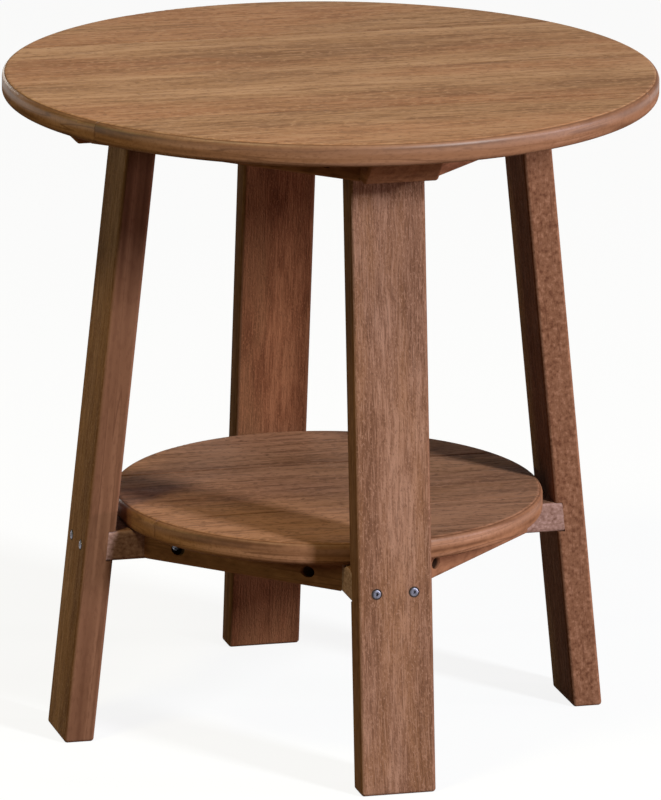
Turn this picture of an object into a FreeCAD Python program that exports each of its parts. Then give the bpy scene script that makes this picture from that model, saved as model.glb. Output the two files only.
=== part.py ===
import FreeCAD, Part
import math
import os

# Round outdoor side table in moulded board: four splayed legs, an upper and a lower cross of
# half-lapped beams, diagonal braces, a round top of four boards and a round shelf of three.
# The origin is on the floor under the middle, +Z is up, -Y is the front.

# Driving dimensions of the top and shelf, in millimetres
TOP_DIAMETER = 546.1
TABLE_HEIGHT = 558.8
TOP_THICKNESS = 19.05
SHELF_THICKNESS = 19.05
SHELF_LEG_GAP = 7.4
BOARD_WIDTH = 139.7
BOARD_GAP = 0.4
BOARD_EASE = 2.0
RIM_TOP_RADIUS = 4.8
RIM_BOTTOM_RADIUS = 4.8

# Driving dimensions of the frame, in millimetres and degrees
LUMBER_WIDTH = 63.5
LUMBER_THICKNESS = 25.4
LUMBER_EASE = 3.0
LEG_SPLAY = 6.0
LEG_SETBACK = 41.3
RIM_INSET = 25.4
BEAM_BEVEL = 45.0
LOWER_BEAM_HEIGHT = 156.2
DADO_DEPTH = 6.35
BRACE_WIDTH = 25.4
UPPER_BRACE_SETBACK = 8.0
LOWER_BRACE_SETBACK = 25.4

# Driving dimensions of the fastenings, in millimetres
LEG_SHANK = 4.8
LEG_HEAD = 9.2
LEG_HEAD_HEIGHT = 3.0
LEG_SIDE_RISE = 9.5
LEG_SIDE_BITE = 38.1
LEG_TOP_BITE = 50.8
BOARD_SHANK = 4.2
BOARD_HEAD = 8.4
BOARD_HEAD_HEIGHT = 2.6
BOARD_COVER = 6.0
POCKET_BORE = 9.525
POCKET_INSET = 12.6
POCKET_SEAT = 12.7
POCKET_POINT_GAP = 12.7
SCREW_CLEARANCE = 0.15
HEAD_BEVEL = 1.3

# Screws along a brace, as shares of its half length
TOP_BRACE_SHARES = (-0.5, 0.5)
SHELF_BRACE_SHARES = (0,)

# Heights that follow from the driving dimensions
UPPER_BEAM_TOP = TABLE_HEIGHT - TOP_THICKNESS
UPPER_BEAM_BOTTOM = UPPER_BEAM_TOP - LUMBER_THICKNESS
LOWER_BEAM_TOP = LOWER_BEAM_HEIGHT + LUMBER_THICKNESS
LOWER_BEAM_MIDDLE = LOWER_BEAM_HEIGHT + LUMBER_THICKNESS / 2
SHELF_TOP = LOWER_BEAM_TOP + SHELF_THICKNESS

# Distances from the middle that follow from the driving dimensions
SPLAY_SLOPE = math.tan(math.radians(LEG_SPLAY))
SPLAY_COSINE = math.cos(math.radians(LEG_SPLAY))
HALF_WIDTH = LUMBER_WIDTH / 2
SCREW_OFFSET = LUMBER_WIDTH / 4
UPPER_HALF_LENGTH = TOP_DIAMETER / 2 - RIM_INSET
UPPER_HALF_BOTTOM = UPPER_HALF_LENGTH - LUMBER_THICKNESS * math.tan(math.radians(BEAM_BEVEL))
LEG_TOP_RADIUS = UPPER_HALF_BOTTOM - LEG_SETBACK


def leg_outer(height):
    """Distance from the middle to a leg's outer face at a height."""
    return LEG_TOP_RADIUS + (UPPER_BEAM_BOTTOM - height) * SPLAY_SLOPE


def leg_inside(height, depth):
    """Distance from the middle to a plane in a leg, at a depth square to its outer face."""
    return leg_outer(height) - depth / SPLAY_COSINE


# Places that follow from the legs
SHELF_DIAMETER = 2 * (leg_inside(SHELF_TOP, LUMBER_THICKNESS) - SHELF_LEG_GAP)
UPPER_BRACE_CORNER = UPPER_HALF_BOTTOM - UPPER_BRACE_SETBACK
LOWER_BRACE_CORNER = leg_inside(LOWER_BEAM_MIDDLE, LUMBER_THICKNESS) - LOWER_BRACE_SETBACK
POCKET_SHIFT = BRACE_WIDTH * math.sqrt(2) - POCKET_INSET
POCKET_ENTRY = POCKET_SHIFT * math.sqrt(2)
UPPER_SCREW_REACH = (HALF_WIDTH + leg_inside(UPPER_BEAM_BOTTOM, LUMBER_THICKNESS)) / 2
OVERHANG_SCREW_REACH = (UPPER_BRACE_CORNER - POCKET_SHIFT + UPPER_HALF_BOTTOM) / 2
LOWER_SCREW_REACH = (HALF_WIDTH + LOWER_BRACE_CORNER - POCKET_SHIFT) / 2

# Turns, in degrees: a leg is drawn at the right, a brace at the back
SIDES = {"right": 0, "back": 90, "left": 180, "front": 270}
CORNERS = {"back_right": -45, "back_left": 45, "front_left": 135, "front_right": 225}
NEAR_ZERO = 0.001
UP = FreeCAD.Vector(0, 0, 1)
DOWN = FreeCAD.Vector(0, 0, -1)
MIDDLE = FreeCAD.Vector(0, 0, 0)


def turned(shape, degrees):
    """Copy of a shape, turned about the table's upright axis."""
    copy = shape.copy()
    copy.rotate(MIDDLE, UP, degrees)
    return copy


def placed(shape, point, direction):
    """Copy of a shape drawn along Z, moved to a point with its +Z end facing a direction."""
    copy = shape.copy()
    copy.Placement = FreeCAD.Placement(point, FreeCAD.Rotation(UP, direction))
    return copy


def upright_prism(outline, width):
    """Solid from a closed outline of (x, z) points, extruded along Y about y = 0."""
    points = [FreeCAD.Vector(x, -width / 2, z) for x, z in outline]
    face = Part.Face(Part.makePolygon(points + points[:1]))
    return face.extrude(FreeCAD.Vector(0, width, 0))


def flat_prism(outline, bottom, height):
    """Solid from a closed outline of (x, y) points, extruded up from a height."""
    points = [FreeCAD.Vector(x, y, bottom) for x, y in outline]
    face = Part.Face(Part.makePolygon(points + points[:1]))
    return face.extrude(UP * height)


def eased(solid, radius, wanted):
    """The solid with each edge that the test accepts rounded over."""
    edges = [edge for edge in solid.Edges if wanted(edge)]
    return solid.makeFillet(radius, edges)


def runs_along_x(edge):
    """True for an edge parallel to X."""
    tangent = edge.tangentAt(edge.FirstParameter)
    return abs(tangent.y) < NEAR_ZERO and abs(tangent.z) < NEAR_ZERO


def circles_at(solid, height):
    """The round edges of a solid that lie at a height."""
    return [edge for edge in solid.Edges if edge.Closed and abs(edge.CenterOfMass.z - height) < NEAR_ZERO]


def lies_below(height):
    """Test for an edge whose middle is lower than a height."""
    return lambda edge: edge.CenterOfMass.z < height - LUMBER_EASE


class ScrewGroup:
    """Identical screws, each at a place of its own, with the holes that take them."""

    def __init__(self, screw, hole, places):
        self.screw = screw
        self.hole = hole
        self.places = places

    def screws(self, angle=0):
        """The placed screws, turned about the upright axis."""
        return [turned(placed(self.screw, *place), angle) for place in self.places]

    def holes(self, angle=0):
        """The placed cutters, turned about the upright axis."""
        return [turned(placed(self.hole, *place), angle) for place in self.places]


def shank(diameter, length):
    """Plain shank from z = 0 down, with a 45 degree point."""
    radius = diameter / 2
    body = Part.makeCylinder(radius, length - radius, MIDDLE, DOWN)
    point = Part.makeCone(radius, 0, radius, DOWN * (length - radius), DOWN)
    return body.fuse(point)


def pan_screw(head_diameter, head_height, shank_diameter, length):
    """Pan-head screw whose head seats at z = 0."""
    blank = Part.makeCylinder(head_diameter / 2, head_height)
    head = blank.makeChamfer(HEAD_BEVEL, circles_at(blank, head_height))
    return head.fuse(shank(shank_diameter, length)).removeSplitter()


def flat_screw(head_diameter, head_height, shank_diameter, length):
    """Countersunk screw whose head is flush at z = 0."""
    head = Part.makeCone(head_diameter / 2, shank_diameter / 2, head_height, MIDDLE, DOWN)
    return head.fuse(shank(shank_diameter, length)).removeSplitter()


def plain_hole(shank_diameter, length):
    """Cutter for a shank, from z = 0 down."""
    return Part.makeCylinder(shank_diameter / 2 + SCREW_CLEARANCE, length + SCREW_CLEARANCE, MIDDLE, DOWN)


def countersunk_hole(head_diameter, head_height, shank_diameter, length):
    """Cutter for a countersunk screw, its mouth at z = 0."""
    head = Part.makeCone(head_diameter / 2, shank_diameter / 2, head_height, MIDDLE, DOWN)
    return head.fuse(plain_hole(shank_diameter, length))


def pocket_hole(bore, shank_diameter, length):
    """Cutter for a screw sunk in a flat-bottomed bore, the head's seat at z = 0."""
    return Part.makeCylinder(bore / 2, POCKET_ENTRY).fuse(plain_hole(shank_diameter, length))


def rim_disc(diameter, thickness, bottom):
    """Round panel with its edge routed over above and below."""
    radius = diameter / 2
    blank = Part.makeCylinder(radius, thickness, FreeCAD.Vector(0, 0, bottom))
    routed = blank.makeFillet(RIM_TOP_RADIUS, circles_at(blank, bottom + thickness))
    return routed.makeFillet(RIM_BOTTOM_RADIUS, circles_at(routed, bottom))


def round_boards(diameter, thickness, bottom, holes):
    """Boards side by side along X, cut together to a round panel and drilled."""
    # The panel's seam line is turned to the back, clear of the gap that boards leave along y = 0
    panel = turned(rim_disc(diameter, thickness, bottom), SIDES["back"])
    count = math.ceil(diameter / BOARD_WIDTH)
    boards = []
    for index in range(count):
        front = (index - count / 2) * BOARD_WIDTH + BOARD_GAP / 2
        corner = FreeCAD.Vector(-diameter, front, bottom)
        blank = Part.makeBox(2 * diameter, BOARD_WIDTH - BOARD_GAP, thickness, corner)
        boards.append(eased(blank, BOARD_EASE, runs_along_x).common(panel).cut(holes))
    return boards


def upper_beam():
    """Upper beam along X, its ends bevelled back under the top."""
    outline = [
        (-UPPER_HALF_LENGTH, UPPER_BEAM_TOP),
        (UPPER_HALF_LENGTH, UPPER_BEAM_TOP),
        (UPPER_HALF_BOTTOM, UPPER_BEAM_BOTTOM),
        (-UPPER_HALF_BOTTOM, UPPER_BEAM_BOTTOM),
    ]
    blank = upright_prism(outline, LUMBER_WIDTH)
    return eased(blank, LUMBER_EASE, lambda edge: runs_along_x(edge) or lies_below(UPPER_BEAM_TOP)(edge))


def lower_beam():
    """Lower beam along X, its ends cut to the splay and seated in the legs' dados."""
    seat = LUMBER_THICKNESS - DADO_DEPTH
    top_end = leg_inside(LOWER_BEAM_TOP, seat)
    bottom_end = leg_inside(LOWER_BEAM_HEIGHT, seat)
    outline = [
        (-top_end, LOWER_BEAM_TOP),
        (top_end, LOWER_BEAM_TOP),
        (bottom_end, LOWER_BEAM_HEIGHT),
        (-bottom_end, LOWER_BEAM_HEIGHT),
    ]
    return eased(upright_prism(outline, LUMBER_WIDTH), LUMBER_EASE, runs_along_x)


def lap_cutter(bottom):
    """Half-lap notch across a beam along X, half the lumber's thickness deep."""
    corner = FreeCAD.Vector(-HALF_WIDTH, -LUMBER_WIDTH, bottom)
    return Part.makeBox(LUMBER_WIDTH, 2 * LUMBER_WIDTH, LUMBER_THICKNESS / 2, corner)


def cross(beam, bottom, holes):
    """Two beams half-lapped at the middle: the one along X is above at the lap."""
    side_to_side = beam.cut(lap_cutter(bottom)).cut(holes)
    front_to_back = turned(beam.cut(lap_cutter(bottom + LUMBER_THICKNESS / 2)), SIDES["back"]).cut(holes)
    return side_to_side, front_to_back


def leg(holes):
    """Leg on the +X side: a splayed board with a dado in its inner face for the lower beam."""
    outline = [
        (leg_outer(0), 0),
        (leg_outer(UPPER_BEAM_BOTTOM), UPPER_BEAM_BOTTOM),
        (leg_inside(UPPER_BEAM_BOTTOM, LUMBER_THICKNESS), UPPER_BEAM_BOTTOM),
        (leg_inside(0, LUMBER_THICKNESS), 0),
    ]
    seat = LUMBER_THICKNESS - DADO_DEPTH
    dado = [
        (0, LOWER_BEAM_HEIGHT),
        (leg_inside(LOWER_BEAM_HEIGHT, seat), LOWER_BEAM_HEIGHT),
        (leg_inside(LOWER_BEAM_TOP, seat), LOWER_BEAM_TOP),
        (0, LOWER_BEAM_TOP),
    ]
    blank = eased(upright_prism(outline, LUMBER_WIDTH), LUMBER_EASE, lies_below(UPPER_BEAM_BOTTOM))
    return blank.cut(upright_prism(dado, 2 * LUMBER_WIDTH)).cut(holes)


def brace_face(corner):
    """Distance from the middle to a brace's outer face, from where it meets the beams' sides."""
    return (corner + HALF_WIDTH) / math.sqrt(2)


def brace_half_length(corner):
    """Half the length of a brace's outer face between its mitred corners."""
    return (corner - HALF_WIDTH) / math.sqrt(2)


def brace(corner, bottom, holes):
    """Brace on the +Y side, along X, both ends mitred to seat on the beams' sides."""
    face = brace_face(corner)
    half = brace_half_length(corner)
    outline = [
        (-half, face),
        (half, face),
        (half - BRACE_WIDTH, face - BRACE_WIDTH),
        (-half + BRACE_WIDTH, face - BRACE_WIDTH),
    ]
    return eased(flat_prism(outline, bottom, LUMBER_THICKNESS), LUMBER_EASE, runs_along_x).cut(holes)


def leg_side_screws():
    """Two pan-head screws through the leg on the +X side into the end of the lower beam."""
    through = LUMBER_THICKNESS - DADO_DEPTH
    outward = FreeCAD.Vector(SPLAY_COSINE, 0, SPLAY_COSINE * SPLAY_SLOPE)
    length = through + LEG_SIDE_BITE
    height = LOWER_BEAM_HEIGHT + LEG_SIDE_RISE
    places = []
    for side in (-SCREW_OFFSET, SCREW_OFFSET):
        beam_end = FreeCAD.Vector(leg_inside(height, through), side, height)
        places.append((beam_end + outward * through, outward))
    screw = pan_screw(LEG_HEAD, LEG_HEAD_HEIGHT, LEG_SHANK, length)
    return ScrewGroup(screw, plain_hole(LEG_SHANK, length), places)


def leg_top_screws():
    """Two countersunk screws down through the upper beam into the leg on the +X side."""
    length = LUMBER_THICKNESS + LEG_TOP_BITE
    radius = leg_inside(UPPER_BEAM_BOTTOM - LEG_TOP_BITE / 2, LUMBER_THICKNESS / 2)
    places = [(FreeCAD.Vector(radius, side, UPPER_BEAM_TOP), UP) for side in (-SCREW_OFFSET, SCREW_OFFSET)]
    sizes = (LEG_HEAD, LEG_HEAD_HEIGHT, LEG_SHANK, length)
    return ScrewGroup(flat_screw(*sizes), countersunk_hole(*sizes), places)


def pocket_screws(corner, bottom):
    """Pan-head screws sunk in bores at the ends of the brace on the +Y side, square to the beams' sides."""
    length = POCKET_SEAT + HALF_WIDTH - POCKET_POINT_GAP / 2
    middle = bottom + LUMBER_THICKNESS / 2
    places = []
    for side in (-1, 1):
        outward = FreeCAD.Vector(-side, 1, 0).normalize()
        beam_side = FreeCAD.Vector(side * (brace_half_length(corner) - POCKET_ENTRY / 2), 0, middle)
        beam_side.y = brace_face(corner) - POCKET_ENTRY / 2
        places.append((beam_side + outward * POCKET_SEAT, outward))
    screw = pan_screw(BOARD_HEAD, BOARD_HEAD_HEIGHT, BOARD_SHANK, length)
    return ScrewGroup(screw, pocket_hole(POCKET_BORE, BOARD_SHANK, length), places)


def board_screws(points, bottom, board_thickness):
    """Countersunk screws up through the frame into the boards above it."""
    length = LUMBER_THICKNESS + board_thickness - BOARD_COVER
    places = [(FreeCAD.Vector(x, y, bottom), DOWN) for x, y in points]
    sizes = (BOARD_HEAD, BOARD_HEAD_HEIGHT, BOARD_SHANK, length)
    return ScrewGroup(flat_screw(*sizes), countersunk_hole(*sizes), places)


def top_screw_points():
    """Places of the screws that hold the top's boards to the upper cross."""
    points = [(0, -SCREW_OFFSET), (0, SCREW_OFFSET)]
    for end in (-1, 1):
        for side in (-SCREW_OFFSET, SCREW_OFFSET):
            points.append((end * UPPER_SCREW_REACH, side))
            points.append((side, end * OVERHANG_SCREW_REACH))
    return points


def shelf_screw_points():
    """Places of the screws that hold the shelf's boards to the lower cross."""
    points = [(-SCREW_OFFSET, 0), (SCREW_OFFSET, 0)]
    for end in (-1, 1):
        points.append((end * LOWER_SCREW_REACH, 0))
        for side in (-SCREW_OFFSET, SCREW_OFFSET):
            points.append((side, end * LOWER_SCREW_REACH))
    return points


def brace_screw_points(corner, shares):
    """Places along the middle of the brace on the +Y side, as shares of its half length."""
    row = brace_face(corner) - BRACE_WIDTH / 2
    return [(share * brace_half_length(corner), row) for share in shares]


def all_of(makers, angles):
    """Every solid that a maker gives for each angle, in one list."""
    return [solid for angle in angles for solid in makers(angle)]


def build():
    """All the table's pieces by name."""
    sides = SIDES.values()
    corners = CORNERS.values()

    leg_side = leg_side_screws()
    leg_top = leg_top_screws()
    upper_pocket = pocket_screws(UPPER_BRACE_CORNER, UPPER_BEAM_BOTTOM)
    lower_pocket = pocket_screws(LOWER_BRACE_CORNER, LOWER_BEAM_HEIGHT)
    top_cross = board_screws(top_screw_points(), UPPER_BEAM_BOTTOM, TOP_THICKNESS)
    shelf_cross = board_screws(shelf_screw_points(), LOWER_BEAM_HEIGHT, SHELF_THICKNESS)
    top_points = brace_screw_points(UPPER_BRACE_CORNER, TOP_BRACE_SHARES)
    shelf_points = brace_screw_points(LOWER_BRACE_CORNER, SHELF_BRACE_SHARES)
    top_brace = board_screws(top_points, UPPER_BEAM_BOTTOM, TOP_THICKNESS)
    shelf_brace = board_screws(shelf_points, LOWER_BEAM_HEIGHT, SHELF_THICKNESS)

    top_holes = top_cross.holes() + all_of(top_brace.holes, corners)
    shelf_holes = shelf_cross.holes() + all_of(shelf_brace.holes, corners)
    upper_holes = top_cross.holes() + all_of(leg_top.holes, sides) + all_of(upper_pocket.holes, corners)
    lower_holes = shelf_cross.holes() + all_of(leg_side.holes, sides) + all_of(lower_pocket.holes, corners)

    pieces = {}
    top_boards = round_boards(TOP_DIAMETER, TOP_THICKNESS, UPPER_BEAM_TOP, top_holes)
    for number, board in enumerate(top_boards, 1):
        pieces[f"top_board_{number}"] = board
    shelf_boards = round_boards(SHELF_DIAMETER, SHELF_THICKNESS, LOWER_BEAM_TOP, shelf_holes)
    for number, board in enumerate(shelf_boards, 1):
        pieces[f"shelf_board_{number}"] = board

    upper_pair = cross(upper_beam(), UPPER_BEAM_BOTTOM, upper_holes)
    lower_pair = cross(lower_beam(), LOWER_BEAM_HEIGHT, lower_holes)
    pieces["upper_beam_side_to_side"], pieces["upper_beam_front_to_back"] = upper_pair
    pieces["lower_beam_side_to_side"], pieces["lower_beam_front_to_back"] = lower_pair

    one_leg = leg(leg_side.holes() + leg_top.holes())
    for side, angle in SIDES.items():
        pieces[f"leg_{side}"] = turned(one_leg, angle)

    upper_brace = brace(UPPER_BRACE_CORNER, UPPER_BEAM_BOTTOM, upper_pocket.holes() + top_brace.holes())
    lower_brace = brace(LOWER_BRACE_CORNER, LOWER_BEAM_HEIGHT, lower_pocket.holes() + shelf_brace.holes())
    for corner, angle in CORNERS.items():
        pieces[f"upper_brace_{corner}"] = turned(upper_brace, angle)
        pieces[f"lower_brace_{corner}"] = turned(lower_brace, angle)

    pieces["leg_side_screws"] = Part.makeCompound(all_of(leg_side.screws, sides))
    pieces["leg_top_screws"] = Part.makeCompound(all_of(leg_top.screws, sides))
    pieces["upper_brace_screws"] = Part.makeCompound(all_of(upper_pocket.screws, corners))
    pieces["lower_brace_screws"] = Part.makeCompound(all_of(lower_pocket.screws, corners))
    pieces["top_screws"] = Part.makeCompound(top_cross.screws() + all_of(top_brace.screws, corners))
    pieces["shelf_screws"] = Part.makeCompound(shelf_cross.screws() + all_of(shelf_brace.screws, corners))
    return pieces


os.makedirs("parts", exist_ok=True)
for name, shape in build().items():
    shape.exportStep(f"parts/{name}.step")
    state = "valid" if shape.isValid() else "INVALID"
    print(name, len(shape.Solids), "solids", round(shape.Volume), "mm3", state)
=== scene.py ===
"""Looks of a round outdoor side table in wood-grained plastic lumber: finishes, screws, light and camera."""

import logging
import math
from dataclasses import dataclass, replace
from enum import Enum

import bmesh
import bpy
import numpy as np
from mathutils import Matrix, Vector


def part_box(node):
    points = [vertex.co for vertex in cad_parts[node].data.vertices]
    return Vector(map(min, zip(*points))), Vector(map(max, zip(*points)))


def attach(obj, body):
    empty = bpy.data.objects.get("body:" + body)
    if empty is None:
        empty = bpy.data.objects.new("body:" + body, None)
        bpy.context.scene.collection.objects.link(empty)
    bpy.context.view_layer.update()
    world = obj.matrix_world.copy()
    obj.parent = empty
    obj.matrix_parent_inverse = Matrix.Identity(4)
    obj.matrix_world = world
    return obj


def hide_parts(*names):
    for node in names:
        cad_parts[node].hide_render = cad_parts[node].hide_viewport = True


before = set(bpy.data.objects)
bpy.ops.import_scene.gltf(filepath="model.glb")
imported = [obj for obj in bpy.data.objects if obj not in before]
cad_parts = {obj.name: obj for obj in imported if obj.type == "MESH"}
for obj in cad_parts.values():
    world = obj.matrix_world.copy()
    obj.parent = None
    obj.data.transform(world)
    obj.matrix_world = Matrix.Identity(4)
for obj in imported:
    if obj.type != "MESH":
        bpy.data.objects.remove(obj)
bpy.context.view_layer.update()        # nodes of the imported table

log = logging.getLogger("side_table")

MM = 0.001
BODY = "root"
SPLAY = math.radians(6)
RIGHTWARD = Vector((1, 0, 0))
BACKWARD = Vector((0, 1, 0))
UP = Vector((0, 0, 1))
SEED_STEP = (3.7, 1.3, 0.61)    # metres by which one seed moves the grain along, across and through a plank
NOISE_MIDDLE = 0.5
SEAT_SHADE = "seat_shade"                   # mesh attribute, 1 on the ring round a sunk screw head, painted dark as shade

# The display's colour curve: a straight foot up to the knee, then a power
DISPLAY_FULL = 255
CURVE_KNEE = 0.04045
CURVE_SLOPE = 12.92
CURVE_OFFSET = 0.055
CURVE_POWER = 2.4

# Places of a Mix node's colour sockets, whose names it uses more than once
MIX_SHARE = 0
MIX_FIRST = 6
MIX_SECOND = 7
MIX_RESULT = 2

Display = tuple[int, int, int]
Colour = tuple[float, float, float, float]
Scales = tuple[float, float, float]
Socket = bpy.types.NodeSocket
Sockets = bpy.types.bpy_prop_collection
Feed = Socket | float | tuple


def display_colour(red: int, green: int, blue: int) -> Colour:
    """Linear colour of a display colour.

    Args:
        red: Red from 0 to 255.
        green: Green from 0 to 255.
        blue: Blue from 0 to 255.

    Returns:
        The linear red, green and blue with full opacity.
    """
    linear = []
    for channel in (red, green, blue):
        share = channel / DISPLAY_FULL
        if share <= CURVE_KNEE:
            linear.append(share / CURVE_SLOPE)
        else:
            linear.append(((share + CURVE_OFFSET) / (1 + CURVE_OFFSET)) ** CURVE_POWER)
    return (*linear, 1.0)


@dataclass(frozen=True)
class Waves:
    """Noise in a plank: waves per metre along, across and through it, and octaves of finer noise."""

    along: float
    across: float
    through: float
    detail: float


@dataclass(frozen=True)
class Step:
    """A smooth step: the number that gives 0 and the number that gives 1."""

    low: float
    high: float

    def inset(self, edge: float) -> "Step":
        """The step measured inwards from an edge."""
        return Step(edge - self.low, edge - self.high)

    def times(self, size: float) -> "Step":
        """The step as shares of a size."""
        return Step(self.low * size, self.high * size)


class SocketKind(Enum):
    """Kinds of socket that a shared effect takes in and puts out."""

    VALUE = "NodeSocketFloat"
    COLOUR = "NodeSocketColor"
    VECTOR = "NodeSocketVector"


class Graph:
    """A node tree that is being wired, with a short method for each kind of node."""

    def __init__(self, tree: bpy.types.NodeTree) -> None:
        """Keep the tree to wire."""
        self.tree = tree

    def node(self, kind: str, **settings: object) -> bpy.types.Node:
        """Add a node.

        Args:
            kind: Blender's name of the node.
            settings: Properties to set on it.

        Returns:
            The new node.
        """
        made = self.tree.nodes.new(kind)
        for name, value in settings.items():
            setattr(made, name, value)
        return made

    def feed(self, target: Socket, source: Feed) -> None:
        """Join a socket to its source, or set it where the source is a plain value.

        Args:
            target: The socket to feed.
            source: Another node's socket, or a plain value.
        """
        if isinstance(source, bpy.types.NodeSocket):
            self.tree.links.new(source, target)
        else:
            target.default_value = source

    def maths(self, operation: str, first: Feed, second: Feed = 0.0, third: Feed = 0.0) -> Socket:
        """Work out one number from up to three.

        Args:
            operation: The Math node's operation.
            first: First number.
            second: Second number.
            third: Third number, for an operation that takes one.

        Returns:
            The result's socket.
        """
        made = self.node("ShaderNodeMath", operation=operation)
        for socket, number in zip(made.inputs, (first, second, third)):
            self.feed(socket, number)
        return made.outputs[0]

    def vector(self, operation: str, first: Feed, second: Feed = (0.0, 0.0, 0.0)) -> Sockets:
        """Work out a vector or a length from one vector or two.

        Args:
            operation: The Vector Math node's operation.
            first: First vector.
            second: Second vector, for an operation that takes one.

        Returns:
            The node's outputs, Vector and Value.
        """
        made = self.node("ShaderNodeVectorMath", operation=operation)
        self.feed(made.inputs[0], first)
        self.feed(made.inputs[1], second)
        return made.outputs

    def spread(self, value: Feed, step: Step) -> Socket:
        """Smooth step of a number, from 0 to 1.

        Args:
            value: The number to judge.
            step: The numbers that give 0 and 1.

        Returns:
            The step's socket.
        """
        made = self.node("ShaderNodeMapRange", interpolation_type="SMOOTHSTEP")
        self.feed(made.inputs["Value"], value)
        self.feed(made.inputs["From Min"], step.low)
        self.feed(made.inputs["From Max"], step.high)
        return made.outputs["Result"]

    def mix(self, share: Feed, first: Feed, second: Feed) -> Socket:
        """Blend two colours.

        Args:
            share: How much of the second colour shows.
            first: First colour.
            second: Second colour.

        Returns:
            The blended colour's socket.
        """
        made = self.node("ShaderNodeMix", data_type="RGBA")
        self.feed(made.inputs[MIX_SHARE], share)
        self.feed(made.inputs[MIX_FIRST], first)
        self.feed(made.inputs[MIX_SECOND], second)
        return made.outputs[MIX_RESULT]

    def noise(self, place: Socket, waves: Waves) -> Socket:
        """Noise stretched along a plank.

        Args:
            place: Place in the plank, in metres.
            waves: Its waves each way, and its detail.

        Returns:
            The noise's socket, about 0.5 at the middle.
        """
        scales = (waves.along, waves.across, waves.through)
        made = self.node("ShaderNodeTexNoise")
        self.feed(made.inputs["Vector"], self.vector("MULTIPLY", place, scales)["Vector"])
        made.inputs["Scale"].default_value = 1.0
        made.inputs["Detail"].default_value = waves.detail
        return made.outputs["Fac"]

    def effect(self, tree: bpy.types.NodeTree, **feeds: Feed) -> Sockets:
        """Place a shared effect.

        Args:
            tree: The effect's node group.
            feeds: What goes into each of its inputs, by name with a low line for each space.

        Returns:
            The group's outputs, by name.
        """
        made = self.node("ShaderNodeGroup", node_tree=tree)
        for name, source in feeds.items():
            self.feed(made.inputs[name.replace("_", " ")], source)
        return made.outputs

    def bump(self, shader: bpy.types.Node, height: Feed, distance: float, strength: float) -> None:
        """Raise a shader's surface.

        Args:
            shader: The shader.
            height: How high it stands.
            distance: Metres for a height of 1.
            strength: Share of the bump that shows.
        """
        made = self.node("ShaderNodeBump")
        made.inputs["Distance"].default_value = distance
        made.inputs["Strength"].default_value = strength
        self.feed(made.inputs["Height"], height)
        self.feed(shader.inputs["Normal"], made.outputs["Normal"])


class SharedEffect:
    """Base of the effects that several finishes use: one node group, built once."""

    name = ""
    takes: dict[str, SocketKind] = {}
    gives: dict[str, SocketKind] = {}

    def __init__(self) -> None:
        """Make the group, its named sockets and its nodes."""
        self.tree = bpy.data.node_groups.new(self.name, "ShaderNodeTree")
        for label, kind in self.takes.items():
            self.tree.interface.new_socket(label, in_out="INPUT", socket_type=kind.value)
        for label, kind in self.gives.items():
            self.tree.interface.new_socket(label, in_out="OUTPUT", socket_type=kind.value)
        graph = Graph(self.tree)
        entry = graph.node("NodeGroupInput")
        leave = graph.node("NodeGroupOutput")
        for label, source in self.wire(graph, entry.outputs).items():
            graph.feed(leave.inputs[label], source)

    def wire(self, graph: Graph, entry: Sockets) -> dict[str, Socket]:
        """Wire the effect.

        Args:
            graph: The group's tree.
            entry: The group's inputs, by name.

        Returns:
            What goes to each output, by name.
        """
        raise NotImplementedError


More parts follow.
